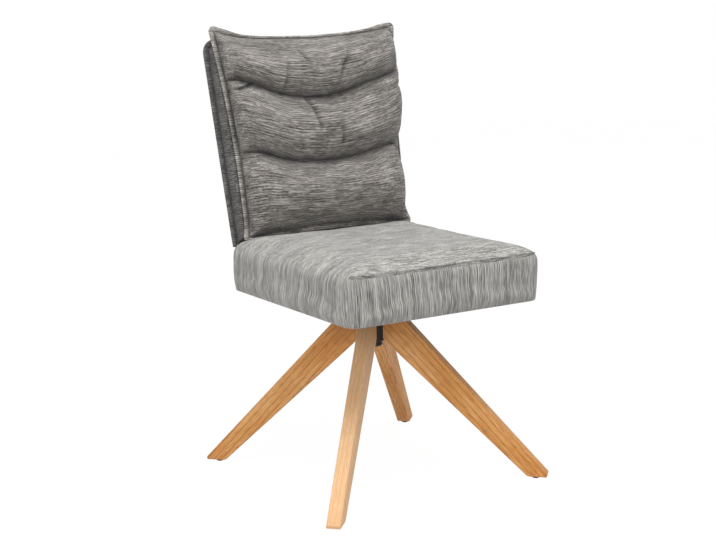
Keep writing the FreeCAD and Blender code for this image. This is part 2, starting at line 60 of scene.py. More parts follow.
def addCamera():
    azimuth, elevation, roll = (math.radians(camera[key]) for key in ("azimuth", "elevation", "roll"))
    back = Vector((math.sin(azimuth) * math.cos(elevation), -math.cos(azimuth) * math.cos(elevation),
                   math.sin(elevation)))
    right = Vector((math.cos(azimuth), math.sin(azimuth), 0))
    up = back.cross(right)
    turn = Matrix((right * math.cos(roll) + up * math.sin(roll),
                   up * math.cos(roll) - right * math.sin(roll), back)).transposed()
    bpy.ops.object.camera_add(location=Vector(camera["target"]) + back * camera["distance"],
                              rotation=turn.to_euler())
    lens = bpy.context.object
    lens.name = "photoCamera"
    lens.data.lens = camera["lens"]
    lens.data.sensor_width = 36
    lens.data.shift_x, lens.data.shift_y = camera["shift"]
    bpy.context.scene.camera = lens


# nodes and colours

def hexColour(code):
    # sRGB hex to the linear colour that a shader takes
    parts = [int(code[place:place + 2], 16) / 255 for place in (1, 3, 5)]
    return [part / 12.92 if part < 0.04045 else ((part + 0.055) / 1.055) ** 2.4 for part in parts] + [1]


def setInputs(tree, node, inputs):
    # an input takes a number, a colour, an output, or a node for its first output
    for socket, value in inputs.items():
        if isinstance(value, bpy.types.Node):
            value = next(output for output in value.outputs if output.enabled)
        if isinstance(value, bpy.types.NodeSocket):
            tree.links.new(value, node.inputs[socket])
        else:
            node.inputs[socket].default_value = value


def addNode(tree, kind, inputs=(), stops=(), **settings):
    # one node with its inputs and settings; the stops are places and colours on a ramp
    node = tree.nodes.new("ShaderNode" + kind)
    for setting, value in settings.items():
        setattr(node, setting, value)
    if stops:
        elements = node.color_ramp.elements
        while len(elements) < len(stops):
            elements.new(0.5)
        for element, (place, colour) in zip(elements, stops):
            element.position = place
            element.color = hexColour(colour)
    setInputs(tree, node, dict(inputs))
    return node


def startMaterial(name, **sockets):
    material = bpy.data.materials.new(name)
    material.use_nodes = True
    shader = material.node_tree.nodes["Principled BSDF"]
    for socket, value in sockets.items():
        shader.inputs[socket.replace("_", " ")].default_value = value
    return material, material.node_tree


def dress(material, colour, height, depth, strength, stops=(), **sockets):
    # colour and relief onto the shader; with stops, the colour is a tone for their ramp
    tree = material.node_tree
    if stops:
        colour = addNode(tree, "ValToRGB", {"Fac": colour}, stops)
    bump = addNode(tree, "Bump", {"Height": height, "Distance": depth, "Strength": strength})
    setInputs(tree, tree.nodes["Principled BSDF"], {"Base Color": colour, "Normal": bump, **sockets})
    return material


def objectVector(tree, millimetres, rotation=(0, 0, 0)):
    # object coordinates, turned, with one unit of pattern for each size in millimetres
    place = addNode(tree, "TexCoord").outputs["Object"]
    turned = addNode(tree, "Mapping", {"Vector": place, "Rotation": rotation})
    scale = [1000 / size for size in millimetres]
    return addNode(tree, "Mapping", {"Vector": turned, "Scale": scale})


waveScale = 0.31  # at this scale a wave texture has one band in each unit of its vector


# chenille: a soft pile yarn, woven flat, so it has a dull face with long slubs and streaks along the yarn

chenille = {
    "yarn": 1.8,  # mm across one streak; the real yarn is 1.5, drawn coarse enough to show
    "slub": 36.0,  # mm along a streak
    "speck": (1.6, 9.0),  # mm across and along the short light and dark specks
    "patch": (24.0, 110.0),  # mm across and along, where the pile lies another way
    "waver": (0.8, 60.0),  # mm that a yarn wanders, and over how far
    "rib": 4.2,  # mm from one raised row of yarns to the next
    "creviceShade": (0.022, 0.12),  # metres that the painted shade of a fold reaches into the pile, and how dark it gets
    "weights": (0.07, 0.12, 0.42, 0.34, 0.16),  # ribs, yarns, streaks, specks and patches in the tone
    "tones": (0.4, 0.555, 0.72),  # tone of the dark, middle and light shade
    "relief": 0.0011,  # metres
    # the yarn coordinate past which the pile lies another way, how much lighter its colour is painted there
    # (below 1 a painted shade, above 1 a painted sheen, for how light falls on that pile), and how strongly
    # the relief shows
    "seatLayShading": (0.95, 0.88, 0.25),
    "rearLayShading": (1.9, 1.1, 0.5),
    "pillowLayShading": (1.9, 1.5, 0.45),
    "seat": ("#4d4b48", "#979590", "#d0cfca"),
    # the rear's shades are darker than the pillow's, partly as painted shade for the band's recess between
    # the flanges
    "rear": ("#252423", "#565452", "#908e8b"),
    "pillow": ("#302d2a", "#726e69", "#afaba5"),
}


def makeChenille(name, shades, layShading):
    material, tree = startMaterial(name, Roughness=0.95, Sheen_Weight=0.2, Sheen_Roughness=0.6,
                                   Specular_IOR_Level=0.2)
    threads = addNode(tree, "UVMap", uv_map="threads")
    waver, reach = chenille["waver"]
    wander = addNode(tree, "TexNoise", {"Vector": threads, "Scale": 1000 / reach, "Detail": 1.0})
    centred = addNode(tree, "VectorMath", {0: wander.outputs["Color"], 1: (0.5, 0.5, 0.5)},
                      operation="SUBTRACT")
    # the noise swings a quarter either way, and the waver is in millimetres
    drift = addNode(tree, "VectorMath", {0: centred, 1: (waver / 250, 0, 0)}, operation="MULTIPLY")
    bent = addNode(tree, "VectorMath", {0: threads, 1: drift}, operation="ADD")

    # each pattern has its own offset, so that no two line up
    def stretched(across, along, offset):
        return addNode(tree, "Mapping", {
            "Vector": bent, "Location": (offset, offset, 0), "Scale": (1000 / across, 1000 / along, 1)})

    def blendIn(pattern, weight, before=0.0):
        return addNode(tree, "Math", {0: pattern, 1: weight, 2: before}, operation="MULTIPLY_ADD")

    def streaks(across, along, detail, offset):
        return addNode(tree, "TexNoise", {
            "Vector": stretched(across, along, offset), "Scale": 1.0, "Detail": detail, "Roughness": 0.6})

    yarns = addNode(tree, "TexVoronoi", {
        "Vector": stretched(chenille["yarn"], chenille["slub"] * 0.7, 2.7), "Scale": 1.0},
        voronoi_dimensions="2D")
    lit = addNode(tree, "SeparateColor", {"Color": yarns.outputs["Color"]})
    long = streaks(chenille["yarn"], chenille["slub"], 2.0, 0.0)
    specks = streaks(*chenille["speck"], 1.0, 7.3)
    ribs = addNode(tree, "TexWave", {
        "Vector": stretched(chenille["rib"], 90.0, 1.3), "Scale": waveScale, "Distortion": 3.0,
        "Detail": 1.0}, bands_direction="X").outputs["Fac"]
    ribShare, yarnShare, streakShare, speckShare, patchShare = chenille["weights"]
    woven = blendIn(lit, yarnShare, blendIn(ribs, ribShare))
    fine = blendIn(specks, speckShare, blendIn(long, streakShare, woven))
    whole = blendIn(streaks(*chenille["patch"], 1.0, 3.1), patchShare, fine)
    colour = addNode(tree, "ValToRGB", {"Fac": whole}, list(zip(chenille["tones"], shades)))
    # painted shade: ambient occlusion darkens the colour in folds and creases
    reach, darkest = chenille["creviceShade"]
    openness = addNode(tree, "AmbientOcclusion", {"Distance": reach}, samples=8).outputs["AO"]
    share = addNode(tree, "MapRange", {"Value": openness, "To Min": darkest, "To Max": 1.0})
    start, shadingChange, relief = layShading
    across = addNode(tree, "SeparateXYZ", {"Vector": threads})
    # painted shading: past the lay's start the colour is painted darker or lighter, in place of the pile's
    # sheen
    paintedLayShading = addNode(tree, "MapRange", {
        "Value": across, "From Min": start, "From Max": start + 0.01, "To Min": 1.0, "To Max": shadingChange})
    shade = addNode(tree, "Math", {0: share, 1: paintedLayShading}, operation="MULTIPLY")
    shaded = addNode(tree, "VectorMath", {0: colour, "Scale": shade}, operation="SCALE")
    return dress(material, shaded, fine, chenille["relief"], relief)


# oak: ring-porous timber, sawn and oiled, so it shows straight grain lines, short dark pores and a low gloss

oak = {
    "ring": 4.6,  # mm between growth rings, as they run out on the leg
    "pore": (0.9, 22.0),  # mm across and along a pore line, drawn wider than the real 0.3
    "slope": 45.0,  # degrees, the leg's fall
    "tones": (0.32, 0.5, 0.66),  # tone of the dark, middle and light shade
    "shades": ("#b97431", "#de9d57", "#f3c48a"),
    # for rings, pores and the painted shade near the hub: where in the pattern it starts and is full, and
    # its share there
    "ringLine": (0.76, 1.0, 0.5),
    "poreLine": (0.62, 0.72, 0.6),
    "paintedShadeRise": (0.27, 0.372, 0.5),  # its pattern is the height
    "ringShade": "#9f6229",
    "poreShade": "#84491b",
    # how light each leg is, partly its own board's tone and partly painted light, and how much it is painted
    # paler, a painted highlight where it faces up to the light
    "board": {"front_left": (1.03, 0.0), "rear_left": (1.12, 0.0), "rear_right": (0.98, 0.0),
              "front_right": (1.07, 0.42)},
    "pale": "#f8d9b2",
    "paintedHubShade": "#7d4520",   # painted shade under the seat, near the hub
}


def makeOak(name, angle, lightness, paleHighlight):
    material, tree = startMaterial(name, Roughness=0.55, Specular_IOR_Level=0.3)
    # the grain is drawn along x, so the leg is turned to face x and laid level
    facing = Matrix.Rotation(math.radians(-angle), 3, "Z")
    level = Matrix.Rotation(math.radians(-oak["slope"]), 3, "Y") @ facing
    turn = tuple(level.to_euler("XYZ"))
    across, along = oak["pore"]
    wander = addNode(tree, "TexNoise", {
        "Vector": objectVector(tree, (160, 30, 30), turn), "Scale": 1.0, "Detail": 2.0})
    rings = addNode(tree, "TexWave", {
        "Vector": objectVector(tree, (oak["ring"] * 26, oak["ring"], oak["ring"] * 1.3), turn),
        "Scale": waveScale, "Distortion": 1.3, "Detail": 2.0, "Detail Scale": 0.6},
        bands_direction="DIAGONAL").outputs["Fac"]
    fibre = addNode(tree, "TexNoise", {
        "Vector": objectVector(tree, (along * 2, across, across), turn), "Scale": 1.0, "Detail": 3.0})
    pores = addNode(tree, "TexNoise", {
        "Vector": objectVector(tree, (along, across, across), turn), "Scale": 1.0, "Detail": 0.0})
    tone = addNode(tree, "Math", {0: fibre, 1: 0.6, 2: 0.0}, operation="MULTIPLY_ADD")
    tone = addNode(tree, "Math", {0: wander, 1: 0.4, 2: tone}, operation="MULTIPLY_ADD")
    colour = addNode(tree, "ValToRGB", {"Fac": tone}, list(zip(oak["tones"], oak["shades"])))
    # painted shade: the colour darkens towards the hub, for the seat's shadow on the upper legs
    place = addNode(tree, "TexCoord").outputs["Object"]
    height = addNode(tree, "SeparateXYZ", {"Vector": place}).outputs["Z"]
    shares = []
    for pattern, (low, high, most) in ((rings, oak["ringLine"]), (pores, oak["poreLine"]),
                                       (height, oak["paintedShadeRise"])):
        shares.append(addNode(tree, "MapRange", {
            "Value": pattern, "From Min": low, "From Max": high, "To Min": 0.0, "To Max": most}))
    # painted highlight: the leg's paleness is mixed in after the rings and pores
    shares.insert(2, paleHighlight)
    for share, shade in zip(shares, ("ringShade", "poreShade", "pale", "paintedHubShade")):
        colour = addNode(tree, "Mix", {"Factor": share, "A": colour, "B": hexColour(oak[shade])},
                         data_type="RGBA")
    board = addNode(tree, "VectorMath", {0: colour, "Scale": lightness}, operation="SCALE")
    return dress(material, board, fibre, 0.0003, 0.5)


def makePowderCoat(name):
    # sprayed and baked powder on steel: black, half matt, with a fine orange-peel skin
    material, tree = startMaterial(name, Roughness=0.45, Specular_IOR_Level=0.25)
    peel = addNode(tree, "TexNoise", {
        "Vector": objectVector(tree, (1.4, 1.4, 1.4)), "Scale": 1.0, "Detail": 2.0})
    return dress(material, peel, peel, 0.0002, 0.5, [(0.3, "#0d0d0d"), (0.7, "#171717")])


def makeZinc(name):
    # bright zinc plating over turned or pressed steel: a pale metal with a cloudy, finely drawn shine
    material, tree = startMaterial(name, Metallic=1.0)
    drawn = addNode(tree, "TexNoise", {
        "Vector": objectVector(tree, (0.6, 0.6, 12.0)), "Scale": 1.0, "Detail": 2.0})
    cloud = addNode(tree, "TexNoise", {
        "Vector": objectVector(tree, (9.0, 9.0, 9.0)), "Scale": 1.0, "Detail": 3.0})
    rough = addNode(tree, "MapRange", {"Value": drawn, "To Min": 0.25, "To Max": 0.45})
    return dress(material, cloud, drawn, 0.00005, 0.4, [(0.3, "#a9abad"), (0.7, "#c9cacb")], Roughness=rough)


def makeMouldedPlastic(name, low, high, roughness):
    # injection moulded plastic: even colour, with the fine spark-eroded grain of its mould
    material, tree = startMaterial(name, Roughness=roughness, Specular_IOR_Level=0.3)
    grain = addNode(tree, "TexNoise", {
        "Vector": objectVector(tree, (0.8, 0.8, 0.8)), "Scale": 1.0, "Detail": 2.0})
    return dress(material, grain, grain, 0.00015, 0.5, [(0.3, low), (0.7, high)])


def makePlywood(name, turn):
    # rotary-cut beech plies glued crosswise: pale figured faces, and stripes along the sawn edge
    material, tree = startMaterial(name, Roughness=0.65)
    plies = addNode(tree, "TexWave", {
        "Vector": objectVector(tree, (400, 400, 3.0), turn), "Scale": waveScale, "Distortion": 0.3},
        bands_direction="Z").outputs["Fac"]
    figure = addNode(tree, "TexNoise", {
        "Vector": objectVector(tree, (6.0, 90.0, 6.0), turn), "Scale": 1.0, "Detail": 3.0})
    tone = addNode(tree, "Math", {0: plies, 1: 0.35, 2: figure}, operation="MULTIPLY_ADD")
    shades = [(0.35, "#a98457"), (0.6, "#c6a576"), (0.85, "#dcc193")]
    return dress(material, tone, figure, 0.0003, 0.4, shades)


def makeLining(name):
    # spun-bonded polypropylene: black felted fibres pressed together at small dots
    material, tree = startMaterial(name, Roughness=0.9, Sheen_Weight=0.2)
    dots = addNode(tree, "TexVoronoi", {
        "Vector": objectVector(tree, (2.4, 2.4, 2.4)), "Scale": 1.0, "Randomness": 0.2})
    fibres = addNode(tree, "TexNoise", {
        "Vector": objectVector(tree, (1.0, 5.0, 1.0)), "Scale": 1.0, "Detail": 3.0})
    tone = addNode(tree, "Math", {0: dots, 1: 0.5, 2: fibres}, operation="MULTIPLY_ADD")
    return dress(material, tone, tone, 0.0004, 0.7, [(0.4, "#101011"), (1.0, "#2c2c2d")])


def makeThread(name):
    # three-ply polyester sewing thread: dark, with the light catching each twist
    material, tree = startMaterial(name, Roughness=0.6, Sheen_Weight=0.3)
    twist = addNode(tree, "TexWave", {"Vector": objectVector(tree, (0.8, 0.8, 0.8)), "Scale": waveScale},
                    bands_direction="DIAGONAL").outputs["Fac"]
    return dress(material, twist, twist, 0.0002, 0.6, [(0.2, "#2e2c2a"), (0.8, "#4f4c49")])


def makeFoam(name):
    # cut polyurethane foam: pale yellow and dull, with open cells under a millimetre wide
    material, tree = startMaterial(name, Roughness=0.95)
    cells = addNode(tree, "TexVoronoi", {"Vector": objectVector(tree, (0.9, 0.9, 0.9)), "Scale": 1.0})
    return dress(material, cells, cells, 0.0004, 0.6, [(0.0, "#a39a78"), (0.6, "#e0d8b8")])


corners = {"front_left": -45.0, "rear_left": 45.0, "rear_right": 135.0, "front_right": 225.0}
backLean = math.radians(11.2)

finishes = [
    (makePowderCoat("powderCoatedSteel"), ["hub_tube", "hub_fins", "leg_bolts", "swivel_plate"]),
    (makeZinc("zincPlatedSteel"), ["glide_screws", "spindle", "end_washer", "locking_nut", "plate_bolts",
                                   "plate_tee_nuts", "arm_bolts", "arm_tee_nuts", "back_screws"]),
    (makePowderCoat("powderCoatedArm"), ["arm_right", "arm_left"]),
    (makeMouldedPlastic("turnedAcetal", "#d8d6cb", "#e6e4da", 0.35),
     ["upper_bush", "lower_bush", "thrust_washer"]),
    (makeMouldedPlastic("blackPolyethylene", "#101010", "#1b1b1b", 0.5), ["hub_cap"]),
    (makeMouldedPlastic("blackPolyamide", "#0e0e0e", "#1a1a1a", 0.55),
     ["glide_" + corner for corner in corners]),
    (makePlywood("beechPlywood", (0, 0, 0)), ["seat_board"]),
    (makePlywood("beechBackPlywood", (math.pi / 2 + backLean, 0, 0)), ["back_board"]),
    (makeLining("spunBondedLining"), ["dust_cover"]),
    (makeFoam("cutFoam"), ["seat_foam"]),
]


def finishNodes():
    for corner, angle in corners.items():
        finishes.append((makeOak("oiledOak_" + corner, angle, *oak["board"][corner]), ["leg_" + corner]))
    for material, names in finishes:
        for name in names:
            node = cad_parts[name]
            node.data.materials.clear()
            node.data.materials.append(material)


# soft goods: each is a lattice of square cells round a box, bent to its form, blown up as cloth and smoothed

def clothMesh(name, points, faces, yarns, material):
    # yarns holds a yarn coordinate for each corner of each face
    mesh = bpy.data.meshes.new(name)
    mesh.from_pydata(points, [], faces)
    for loop, yarn in zip(mesh.uv_layers.new(name="threads").data, yarns):
        loop.uv = yarn
    mesh.polygons.foreach_set("use_smooth", [True] * len(mesh.polygons))
    mesh.materials.append(material)
    piece = bpy.data.objects.new(name, mesh)
    bpy.context.collection.objects.link(piece)
    return piece


def latticePiece(name, counts, place, threads, material):
    # place(i, j, k) gives a point of the surface and threads(side, i, j, k) its yarn coordinates
    nx, ny, nz = counts
    numbers = {}
    points = []
    faces = []
    yarns = []

    def vertex(key):
        if key not in numbers:
            numbers[key] = len(points)
            points.append(place(*key))
        return numbers[key]

    def addSide(side, first, second, fixed, value, flip):
        for u in range(counts[first]):
            for v in range(counts[second]):
                ring = []
                for du, dv in ((0, 0), (1, 0), (1, 1), (0, 1)):
                    key = [0, 0, 0]
                    key[first], key[second], key[fixed] = u + du, v + dv, value
                    ring.append(tuple(key))
                if flip:
                    ring.reverse()
                faces.append([vertex(key) for key in ring])
                yarns.extend(threads(side, *key) for key in ring)

    addSide("front", 0, 2, 1, 0, False)
    addSide("rear", 0, 2, 1, ny, True)
    addSide("right", 1, 2, 0, 0, True)
    addSide("left", 1, 2, 0, nx, False)
    addSide("bottom", 0, 1, 2, 0, True)
    addSide("top", 0, 1, 2, nz, False)
    piece = clothMesh(name, points, faces, yarns, material)
    lattice = piece.data.attributes.new("lattice", "FLOAT_VECTOR", "POINT")
    for item, key in zip(lattice.data, numbers):
        item.vector = key
    return piece, list(numbers)


def selectOnly(piece):
    bpy.ops.object.select_all(action="DESELECT")
    piece.select_set(True)
    bpy.context.view_layer.objects.active = piece


def applyModifiers(piece):
    selectOnly(piece)
    for modifier in list(piece.modifiers):
        bpy.ops.object.modifier_apply(modifier=modifier.name)


def subdivide(piece):
    piece.modifiers.new("smooth", "SUBSURF").levels = 1
    piece.modifiers["smooth"].render_levels = 1
    applyModifiers(piece)


def hold(piece, keys, test):
    # the group of points that stay where they are, from a test of their lattice places
    members = piece.vertex_groups.new(name=upholstery["vertex_group_mass"])
    members.add([number for number, key in enumerate(keys) if test(*key)], 1.0, "REPLACE")


upholstery = {  # the cloth simulation's settings for a backed chenille
    "quality": 6,
    "mass": 0.25,
    "tension_stiffness": 12,
    "compression_stiffness": 12,
    "shear_stiffness": 6,
    "bending_stiffness": 0.3,
    "use_pressure": True,
    "uniform_pressure_force": 4.0,
    "vertex_group_mass": "held",
}
fillingFrames = 20


def inflate(piece, growth, cap, keys=(), ease=None):
    # blows the fabric up round its held points; no point moves further than the cap, eased near a seam
    before = [vertex.co.copy() for vertex in piece.data.vertices]
    cloth = piece.modifiers.new("filling", "CLOTH")
    for setting, value in upholstery.items():
        setattr(cloth.settings, setting, value)
    cloth.settings.shrink_min = -growth
    cloth.settings.effector_weights.gravity = 0
    for number in range(fillingFrames):
        bpy.context.scene.frame_set(number + 1)
    selectOnly(piece)
    bpy.ops.object.modifier_apply(modifier=cloth.name)
    bpy.context.scene.frame_set(1)
    for number, (vertex, start) in enumerate(zip(piece.data.vertices, before)):
        limit = cap * ease(*keys[number]) if ease else cap
        step = vertex.co - start
        if step.length > limit:
            vertex.co = start + step.normalized() * limit


def smoothAndSew(piece, seamHeight=None):
    # one subdivision, then each point moves along its normal as the seam at its lattice place asks
    subdivide(piece)
    if seamHeight:
        lattice = piece.data.attributes["lattice"].data
        normals = [vertex.normal.copy() for vertex in piece.data.vertices]
        for vertex, normal in zip(piece.data.vertices, normals):
            vertex.co += normal * seamHeight(*lattice[vertex.index].vector)
    piece.data.attributes.remove(piece.data.attributes["lattice"])


def keepOff(piece, other, gap):
    # lifts what would sink into the other piece out to its surface
    wrap = piece.modifiers.new("clear", "SHRINKWRAP")
    wrap.target = other
    wrap.wrap_method = "NEAREST_SURFACEPOINT"
    wrap.wrap_mode = "OUTSIDE"
    wrap.offset = gap
    applyModifiers(piece)


def clamp(value, limit):
    return max(-limit, min(limit, value))


def profile(steps, away):
    # a height from a list of distances and heights, zero past its end
    for (near, low), (far, high) in zip(steps, steps[1:]):
        if near <= away <= far:
            return lerp(low, high, (away - near) / (far - near))
    return 0.0


def arch(share):
    # rises from nothing to one and falls again
    return max(0.0, math.sin(math.pi * share)) if 0 < share < 1 else 0.0


def lerp(start, end, share):
    return start + (end - start) * share


# seat cushion

seat = {
    "cell": 0.006,
    "frontCornerRadius": 0.028,
    "rearCornerRadius": 0.018,
    "edgeRadius": 0.012,
    "sideEdgeRadius": 0.017,
    "crown": 0.016,
    "crownReach": 0.074,
    "sideDraft": 0.008,
    "endDraft": 0.004,
    "sideBulge": 0.0065,  # how far the filling pushes the bands out between the arris and the hem
    "slack": 0.002,  # the cover starts this much inside its filled form
    "hem": 0.024,
    "coverThickness": 0.002,
    "boardThickness": 0.015,
    "growth": 0.004,
    "cap": 0.006,
    "unevenness": 0.0012,
    "fill": 0.8,
    # across a seam: distance from it and height, so a welt stands between the seam and its topstitch
    "welt": [(0.0, -0.0044), (0.003, 0.0020), (0.006, -0.0032), (0.009, 0.0)],
}

seatHalf = seatBox[1].x
seatMiddle = (seatBox[0].y + seatBox[1].y) / 2
seatDepth = (seatBox[1].y - seatBox[0].y) / 2
seatBottom = seatBox[0].z
seatArris = seatBox[1].z - seat["crown"]
seatCells = (round(2 * seatHalf / seat["cell"] / 2) * 2, round(2 * seatDepth / seat["cell"] / 2) * 2,
             round((seatArris - seatBottom) / seat["cell"]))


def hemRings():
    # inset and height of the rings under the cushion: hem, its fold, the board's edge and the board's top
    hem, cover, board = seat["hem"], seat["coverThickness"], seat["boardThickness"]
    gap, bend, step = 0.0003, 0.0005, 0.001
    foldTop = seatBottom + cover - gap
    wall = cover + gap
    recess = seatBottom + cover + board + gap
    return [(0.0, seatBottom), (0.0015, seatBottom), (0.009, seatBottom), (0.016, seatBottom),
            (hem - step, seatBottom), (hem, seatBottom + bend), (hem, foldTop - bend), (hem - step, foldTop),
            (0.013, foldTop), (wall + step, foldTop), (wall, foldTop + step), (wall, seatBottom + 0.009),
            (wall, recess - step), (wall + step, recess), (0.012, recess)]


def seatPlan(x, y):
    # a point of the square plan moved into the rounded plan: place, distance from the edge, way out
    radius = seat["frontCornerRadius"] if y < 0 else seat["rearCornerRadius"]
    innerX = clamp(x, seatHalf - radius)
    innerY = clamp(y, seatDepth - radius)
    offX, offY = x - innerX, y - innerY
    if offX and offY:
        reach = max(abs(offX), abs(offY))
        way = Vector((offX, offY)).normalized()
        return Vector((innerX, innerY)) + way * reach, radius - reach, way
    edgeX, edgeY = seatHalf - abs(x), seatDepth - abs(y)
    if edgeX < edgeY:
        return Vector((x, y)), edgeX, Vector((math.copysign(1, x), 0))
    return Vector((x, y)), edgeY, Vector((0, math.copysign(1, y)))


def seatPlace(i, j, k):
    nx, ny, nz = seatCells
    a, b = 2 * i / nx - 1, 2 * j / ny - 1
    if k == 0 and 0 < i < nx and 0 < j < ny:
        ring = min(i, j, nx - i, ny - j)
        rings = hemRings()
        spread = max(abs(a), abs(b))
        if ring < len(rings):
            inset, height = rings[ring]
            spot = seatPlan(a / spread * (seatHalf - inset), b / spread * (seatDepth - inset))[0]
        else:
            spot, height = Vector((a * seatHalf, b * seatDepth)), rings[-1][1]
        return (spot.x * (1 - seat["sideDraft"] / seatHalf),
                seatMiddle + spot.y * (1 - seat["endDraft"] / seatDepth), height)
    spot, edge, way = seatPlan(a * seatHalf, b * seatDepth)
    drop = (seatArris - seatBottom) * (1 - k / nz)
    radius = lerp(seat["edgeRadius"], seat["sideEdgeRadius"], way.x * way.x)
    if edge < radius and drop < radius:
        inner = Vector((radius - edge, radius - drop))
        rounded = inner.normalized() * max(inner)
        spot += way * (edge - radius + rounded.x)
        edge, drop = radius - rounded.x, radius - rounded.y
    rise = seat["crown"] * (1 - (1 - min(1, edge / seat["crownReach"])) ** 2)
    low = drop / (seatArris - seatBottom)
    slack = seat["slack"] * (1 - low ** 4)
    spot += way * (seat["sideBulge"] * math.sin(math.pi * low) ** 0.8 * max(0.0, 1 - edge / 0.01) - slack)
    spot.x *= 1 - low * seat["sideDraft"] / seatHalf
    spot.y *= 1 - low * seat["endDraft"] / seatDepth
    place = Vector((spot.x, seatMiddle + spot.y, seatArris - drop + rise * (1 - low)))
    if k == nz and edge > radius / 2:
        place.z -= seat["slack"]
    wave = seat["unevenness"] * noise.noise(place * 18) * (1 - low)
    return tuple(place + Vector((way.x, way.y, 0.6)) * wave)


def seatThreads(side, i, j, k):
    # the top panel's yarns run across the seat and down both sides; the front and rear bands' run upright
    # (streaks are drawn a little short on the top and long on the bands, as the pile shows them)
    nx, ny, nz = seatCells
    cell = seat["cell"]
    if side in ("top", "bottom"):
        return (j * cell, i * cell * 1.2)
    down = (nz - k) * cell * 0.45
    if side == "left":
        return (j * cell, 1.2 * nx * cell + down)
    if side == "right":
        return (j * cell, -down)
    # the front and rear bands' yarns start at 1, past the seat's lay start, so their colour is painted
    # darker (painted shade)
    return (1 + i * cell, -down)


def makeSeatCushion(material):
    piece, keys = latticePiece("seatCushion", seatCells, seatPlace, seatThreads, material)
    nx, ny, nz = seatCells
    hold(piece, keys, lambda i, j, k: k == 0)
    cell = seat["cell"]

    def seamHeight(i, j, k):
        # the welt along the front arris, and a low ridge down each front corner
        if k > nz - 0.01:
            return profile(seat["welt"], j * cell)
        if j < 0.01 and 1 < k <= nz - 1:
            return 0.4 * profile(seat["welt"][:2], min(i, nx - i) * cell)
        return 0.0

    inflate(piece, seat["growth"], seat["cap"])
    smoothAndSew(piece, seamHeight)
    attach(piece, "seat")
    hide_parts("seat_cover", "seat_foam")
    print("seat cushion:", len(piece.data.polygons), "faces")
    return piece


# backrest, drawn upright: x across, depth behind the rear flange and height up the back, then leaned

backFoot = Vector((0, 0.195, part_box("back_pad")[0].z))


def onBack(x, depth, height):
    return Vector((x, backFoot.y + depth * math.cos(backLean) + height * math.sin(backLean),
                   backFoot.z - depth * math.sin(backLean) + height * math.cos(backLean)))


def backWay(out, forward=0.0):
    # a direction in the plane of the back, or out of it
    return onBack(out[0], -forward, out[1]) - onBack(0, 0, 0)


def upBack(place):
    # the reverse of onBack
    y, z = place[1] - backFoot.y, place[2] - backFoot.z
    return Vector((place[0], y * math.cos(backLean) - z * math.sin(backLean),
                   y * math.sin(backLean) + z * math.cos(backLean)))


flange = {
    "padWidth": 0.014,
    "pillowWidth": 0.012,
    "thickness": 0.0052,
    "section": [(-0.15, 0.25), (0.12, 0.5), (0.4, 0.95), (0.7, 1.0), (0.92, 0.6), (1.0, 0.0)],
    "pucker": 0.16,  # share by which the thickness swells and shrinks
    "puckerLength": 0.021,
    "puckerWidth": 0.08,  # and the share of that by which its width does
}


def addFlange(piece, line, width, closed, material):
    # a folded edge sewn round a piece: line holds points with their ways out and forward
    half = flange["thickness"] / 2
    section = flange["section"] + [(out, -front) for out, front in reversed(flange["section"][:-1])]
    points = []
    faces = []
    yarns = []
    travelled = 0.0
    for number, (spot, out, forward) in enumerate(line):
        if number:
            travelled += (spot - line[number - 1][0]).length
        # the width also takes each flange to its own part of the noise
        pucker = noise.noise(Vector((travelled / flange["puckerLength"], 0, width * 90)))
        swell = 1 + flange["pucker"] * pucker
        reach = width * lerp(1, swell, flange["puckerWidth"])
        for share, front in section:
            points.append(spot + out * (reach * share) + forward * (half * front * swell))
    count = len(section)
    last = len(line) if closed else len(line) - 1
    for number in range(last):
        after = (number + 1) % len(line)
        for corner in range(count):
            beside = (corner + 1) % count
            ring = [step * count + side for step, side in (
                (number, corner), (number, beside), (after, beside), (after, corner))]
            faces.append(ring)
            for index in ring:
                local = upBack(points[index])
                # a flange's yarns start at 2, past the lay start, so its colour is painted lighter (painted
                # sheen)
                yarns.append((2 + local.z, local.x + local.y))
    if not closed:
        ends = [list(range(count)), [last * count + corner for corner in reversed(range(count))]]
        for ring in ends:
            faces.append(ring)
            yarns.extend((2 + upBack(points[index]).z, upBack(points[index]).x) for index in ring)
    edge = clothMesh(piece.name + "Flange", [tuple(spot) for spot in points], faces, yarns, material)
    selectOnly(edge)
    bpy.ops.object.mode_set(mode="EDIT")
    bpy.ops.mesh.select_all(action="SELECT")
    bpy.ops.mesh.normals_make_consistent(inside=False)
    bpy.ops.object.mode_set(mode="OBJECT")
    subdivide(edge)
    piece.select_set(True)
    bpy.context.view_layer.objects.active = piece
    bpy.ops.object.join()


stitch = {
    "length": 0.0042,
    "pitch": 0.0068,
    "radius": 0.00055,
    "inset": 0.0022,  # from the seam, out on the flange
    "sink": 0.35,  # share of the flange's half thickness
}


